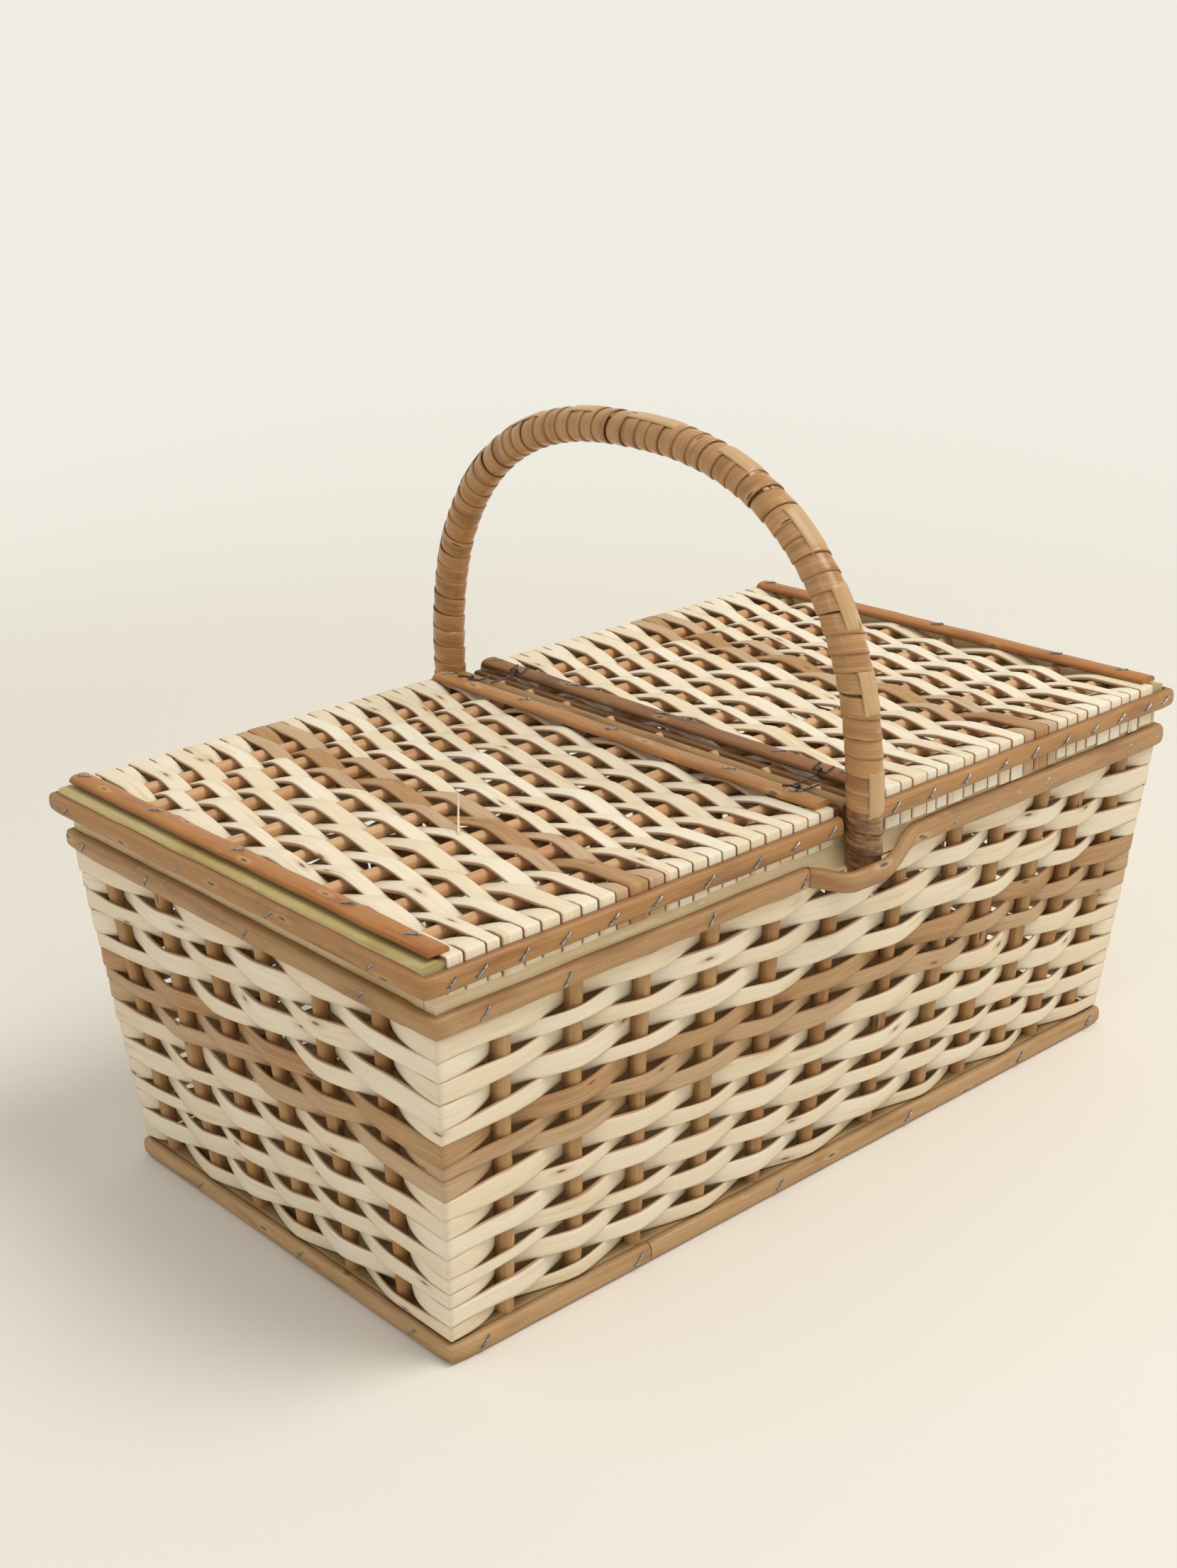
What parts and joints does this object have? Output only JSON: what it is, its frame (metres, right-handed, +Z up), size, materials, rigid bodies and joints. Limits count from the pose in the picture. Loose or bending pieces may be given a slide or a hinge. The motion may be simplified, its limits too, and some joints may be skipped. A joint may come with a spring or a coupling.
{
  "type": "picnic basket",
  "caption": "Rectangular woven willow picnic basket with flared sides, half-round rod bands, hinged lids and a bound arched carrying handle.",
  "frame": {"origin": "middle of the base, at the level the basket stands on", "axes": "+X along the basket's length towards the right lid, +Y to the back, +Z up"},
  "size_m": [0.4716, 0.3098, 0.3396],
  "materials": {
    "pale_willow": "peeled willow strip, satin",
    "brown_willow": "steamed brown willow strip, satin",
    "willow_rod": "whole brown rod, satin",
    "brown_band": "split brown rod, waxy",
    "handle_skein": "brown skein, varnished",
    "green_wood": "split frame wood, matt",
    "board": "thin board, matt",
    "wire": "drawn wire"
  },
  "bodies": {
    "basket": {"wall_frame_front": "willow_rod", "wall_frame_back": "willow_rod", "wall_frame_left": "willow_rod", "wall_frame_right": "willow_rod", "weaver_row_01": "pale_willow", "weaver_row_02": "pale_willow", "weaver_row_03": "pale_willow", "weaver_row_04": "pale_willow", "weaver_row_05": "pale_willow", "weaver_row_06": "brown_willow", "weaver_row_07": "brown_willow", "weaver_row_08": "brown_willow", "weaver_row_09": "pale_willow", "weaver_row_10": "pale_willow", "weaver_row_11": "pale_willow", "weaver_row_12": "pale_willow", "weaver_row_13": "pale_willow", "weaver_row_14": "pale_willow", "weaver_row_15": "pale_willow", "weaver_row_16": "pale_willow", "base_board": "board", "base_slat_front": "green_wood", "base_slat_back": "green_wood", "base_slat_left": "green_wood", "base_slat_right": "green_wood", "base_band": "brown_band", "rim_band": "brown_band", "centre_crossbar": "brown_band", "handle_core": "willow_rod", "handle_binding": "handle_skein", "lid_left_hinge_eye_front": "wire", "lid_left_hinge_eye_back": "wire", "lid_right_hinge_eye_front": "wire", "lid_right_hinge_eye_back": "wire"},
    "lid_left": {"lid_left_frame": "green_wood", "lid_left_strips": "pale_willow", "lid_left_side_band": "brown_band", "lid_left_end_band": "brown_band", "lid_left_hinge_band": "brown_band", "lid_left_hinge_bail_front": "wire", "lid_left_hinge_bail_back": "wire"},
    "lid_right": {"lid_right_frame": "green_wood", "lid_right_strips": "pale_willow", "lid_right_side_band": "brown_band", "lid_right_end_band": "brown_band", "lid_right_hinge_band": "brown_band", "lid_right_hinge_bail_front": "wire", "lid_right_hinge_bail_back": "wire"}
  },
  "joints": [
    {"name": "lid_left_hinge", "type": "hinge", "parent": "basket", "child": "lid_left", "pos_m": [-0.0097, 0, 0.1914], "axis": [0, 1, 0], "range_deg": [0, 90]},
    {"name": "lid_right_hinge", "type": "hinge", "parent": "basket", "child": "lid_right", "pos_m": [0.0127, 0, 0.1914], "axis": [0, -1, 0], "range_deg": [0, 90]}
  ]
}
